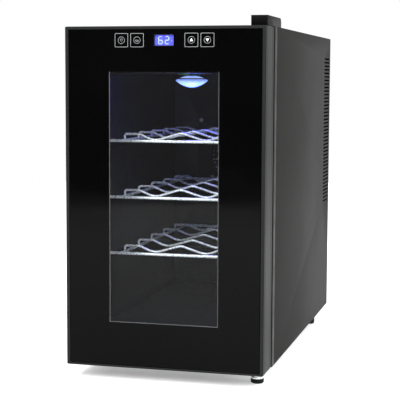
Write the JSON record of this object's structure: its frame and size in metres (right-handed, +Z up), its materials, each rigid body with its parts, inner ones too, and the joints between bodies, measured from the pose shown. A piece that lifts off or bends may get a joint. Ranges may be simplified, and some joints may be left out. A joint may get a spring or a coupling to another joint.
{
  "type": "wine cooler",
  "caption": "Small free-standing thermoelectric wine cooler: black cabinet, hinged glass door with touch keys and display, wire shelves, rear-mounted cooling unit.",
  "frame": {"origin": "on the floor under the middle of the whole object's box", "axes": "+X to the right of someone facing the door, +Y from the door to the back, +Z up"},
  "size_m": [0.252, 0.511, 0.4525],
  "materials": {
    "cabinet_paint": "matte",
    "base_steel": "satin",
    "rear_paint": "matte",
    "trim_plastic": "satin",
    "liner_plastic": "satin",
    "foam": "matte",
    "screw_steel": "satin",
    "zinc_steel": "satin",
    "rubber": "matte",
    "sink_aluminium": "satin",
    "peltier_ceramic": "matte",
    "fan_plastic": "satin",
    "circuit_board": "satin",
    "part_plastic": "satin",
    "brass": "satin",
    "lamp_lens": "satin",
    "glass": "gloss",
    "clear_glass": "gloss",
    "spacer_aluminium": "satin",
    "magnet": "matte",
    "display": "gloss",
    "spring_steel": "polished",
    "bush_nylon": "satin",
    "shelf_chrome": "polished"
  },
  "bodies": {
    "cabinet": {"cabinet_shell": "cabinet_paint", "front_bezel": "trim_plastic", "strike_frame": "base_steel", "inner_liner": "liner_plastic", "cabinet_foam": "foam", "base_pan": "base_steel", "back_plate": "base_steel", "rear_cover": "rear_paint", "rear_cover_screws": "screw_steel", "upper_hinge_bracket": "zinc_steel", "upper_hinge_pin": "zinc_steel", "upper_hinge_screws": "screw_steel", "hinge_cover": "trim_plastic", "lower_hinge_bracket": "zinc_steel", "lower_hinge_pin": "zinc_steel", "lower_hinge_screws": "screw_steel", "foot_nuts": "zinc_steel", "rear_feet": "rubber", "cold_heat_sink": "sink_aluminium", "cold_block": "sink_aluminium", "peltier_module": "peltier_ceramic", "hot_heat_sink": "sink_aluminium", "clamp_screws": "screw_steel", "hot_fan_frame": "fan_plastic", "hot_fan_screws": "screw_steel", "cold_fan_frame": "fan_plastic", "cold_fan_screws": "screw_steel", "air_cover": "liner_plastic", "air_cover_screws": "screw_steel", "power_board": "circuit_board", "board_standoffs": "part_plastic", "transformer": "part_plastic", "capacitors": "part_plastic", "power_inlet": "part_plastic", "inlet_blades": "brass", "lamp_lens": "lamp_lens", "lamp_board": "circuit_board", "temperature_sensor": "part_plastic"},
    "door": {"door_frame": "trim_plastic", "front_glass": "glass", "glass_spacer": "spacer_aluminium", "inner_glass": "clear_glass", "door_foam": "foam", "door_inner_panel": "trim_plastic", "door_gasket": "rubber", "gasket_magnets": "magnet", "control_board": "circuit_board", "display_module": "display", "touch_pads": "spring_steel", "upper_door_bush": "bush_nylon", "lower_door_bush": "bush_nylon"},
    "lower_shelf": {"lower_shelf": "shelf_chrome"},
    "middle_shelf": {"middle_shelf": "shelf_chrome"},
    "upper_shelf": {"upper_shelf": "shelf_chrome"},
    "right_front_foot": {"right_foot_stud": "zinc_steel", "right_foot_pad": "rubber"},
    "left_front_foot": {"left_foot_stud": "zinc_steel", "left_foot_pad": "rubber"},
    "hot_fan_rotor": {"hot_fan_rotor": "fan_plastic"},
    "cold_fan_rotor": {"cold_fan_rotor": "fan_plastic"}
  },
  "joints": [
    {"name": "door_hinge", "type": "hinge", "parent": "cabinet", "child": "door", "pos_m": [0.113, -0.2305, 0.23], "axis": [0, 0, 1], "range_deg": [0, 120]},
    {"name": "lower_shelf_slide", "type": "slide", "parent": "cabinet", "child": "lower_shelf", "axis": [0, -1, 0], "range_m": [0, 0.012]},
    {"name": "middle_shelf_slide", "type": "slide", "parent": "cabinet", "child": "middle_shelf", "axis": [0, -1, 0], "range_m": [0, 0.012]},
    {"name": "upper_shelf_slide", "type": "slide", "parent": "cabinet", "child": "upper_shelf", "axis": [0, -1, 0], "range_m": [0, 0.012]},
    {"name": "right_front_foot_screw", "type": "slide", "parent": "cabinet", "child": "right_front_foot", "axis": [0, 0, -1], "range_m": [0, 0.004]},
    {"name": "left_front_foot_screw", "type": "slide", "parent": "cabinet", "child": "left_front_foot", "axis": [0, 0, -1], "range_m": [0, 0.004]},
    {"name": "hot_fan_spin", "type": "hinge", "parent": "cabinet", "child": "hot_fan_rotor", "pos_m": [0, 0.233, 0.2615], "axis": [0, 1, 0], "continuous": true},
    {"name": "cold_fan_spin", "type": "hinge", "parent": "cabinet", "child": "cold_fan_rotor", "pos_m": [0, 0.141, 0.2615], "axis": [0, 1, 0], "continuous": true}
  ]
}
